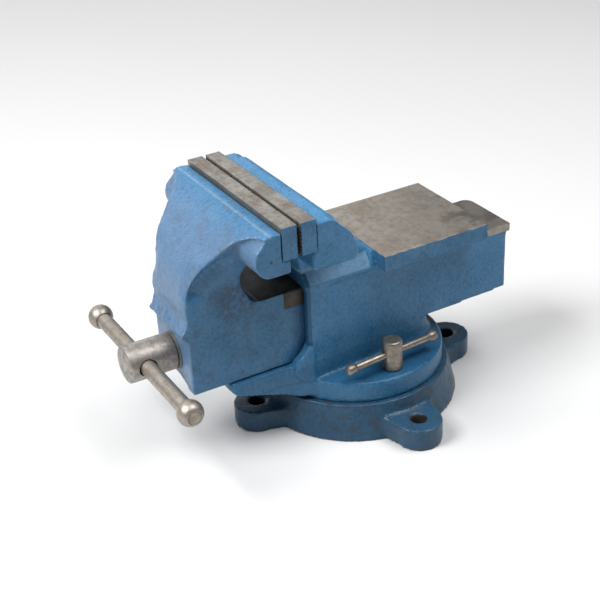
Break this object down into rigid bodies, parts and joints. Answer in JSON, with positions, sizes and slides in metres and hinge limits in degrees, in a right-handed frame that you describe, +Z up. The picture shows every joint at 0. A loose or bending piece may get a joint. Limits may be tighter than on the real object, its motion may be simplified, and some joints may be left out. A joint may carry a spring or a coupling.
{
  "type": "bench vise",
  "caption": "Swivel-base bench vise with anvil: jaws with toothed plates, lead screw with sliding handle bar, and clamp bolts with sliding bars.",
  "frame": {"origin": "swivel axis on the underside of the base, at the centre of the bench bolt circle", "axes": "+Z up along the swivel axis, +X towards the anvil and tail, -Y the side of the near lock bolt"},
  "size_m": [0.3421, 0.227, 0.207],
  "materials": {
    "blue_enamel": "hammered gloss enamel on cast iron",
    "jaw_steel": "ground, slightly rusted",
    "bright_steel": "turned",
    "handle_steel": "dull, oiled",
    "dark_steel": "black oxide",
    "nut_iron": "as cast"
  },
  "bodies": {
    "base": {"swivel_base": "blue_enamel", "pivot_bolt": "dark_steel", "pivot_washer": "dark_steel", "pivot_nut": "dark_steel"},
    "vise_body": {"fixed_body": "blue_enamel", "fixed_jaw_plate": "jaw_steel", "fixed_plate_screws": "dark_steel", "main_nut": "nut_iron", "nut_bolts": "dark_steel", "clamp_nuts": "dark_steel"},
    "moving_jaw": {"movable_jaw": "blue_enamel", "movable_jaw_plate": "jaw_steel", "movable_plate_screws": "dark_steel", "thrust_washer": "bright_steel"},
    "screw": {"lead_screw": "bright_steel", "disc_spring": "dark_steel", "retaining_collar": "bright_steel", "collar_pin": "bright_steel"},
    "handle": {"handle_bar": "handle_steel", "handle_knob_far": "handle_steel", "handle_knob_near": "handle_steel"},
    "near_lock": {"near_lock_bolt": "handle_steel"},
    "near_bar": {"near_lock_bar": "handle_steel", "near_lock_knobs": "handle_steel"},
    "far_lock": {"far_lock_bolt": "handle_steel"},
    "far_bar": {"far_lock_bar": "handle_steel", "far_lock_knobs": "handle_steel"}
  },
  "joints": [
    {"name": "swivel", "type": "hinge", "parent": "base", "child": "vise_body", "pos_m": [0, 0, 0.03], "axis": [0, 0, 1], "continuous": true},
    {"name": "jaw_slide", "type": "slide", "parent": "vise_body", "child": "moving_jaw", "axis": [-1, 0, 0], "range_m": [-0.0013, 0.12]},
    {"name": "screw_turn", "type": "hinge", "parent": "moving_jaw", "child": "screw", "pos_m": [-0.1, 0, 0.091], "axis": [-1, 0, 0], "range_deg": [-93.6, 8640]},
    {"name": "handle_slide", "type": "slide", "parent": "screw", "child": "handle", "axis": [0, 1, 0], "range_m": [-0.054, 0.06]},
    {"name": "near_lock_turn", "type": "hinge", "parent": "vise_body", "child": "near_lock", "pos_m": [0, -0.0575, 0.06], "axis": [0, 0, 1], "range_deg": [-14, 7]},
    {"name": "near_bar_slide", "type": "slide", "parent": "near_lock", "child": "near_bar", "axis": [0.9969, 0.0785, 0], "range_m": [-0.026, 0.026]},
    {"name": "far_lock_turn", "type": "hinge", "parent": "vise_body", "child": "far_lock", "pos_m": [0, 0.0575, 0.06], "axis": [0, 0, 1], "range_deg": [-7, 14]},
    {"name": "far_bar_slide", "type": "slide", "parent": "far_lock", "child": "far_bar", "axis": [0.9969, -0.0785, 0], "range_m": [-0.026, 0.026]}
  ],
  "couplings": [
    {"joint": "screw_turn", "follows": "jaw_slide", "rad_per_m": 1256.6}
  ]
}
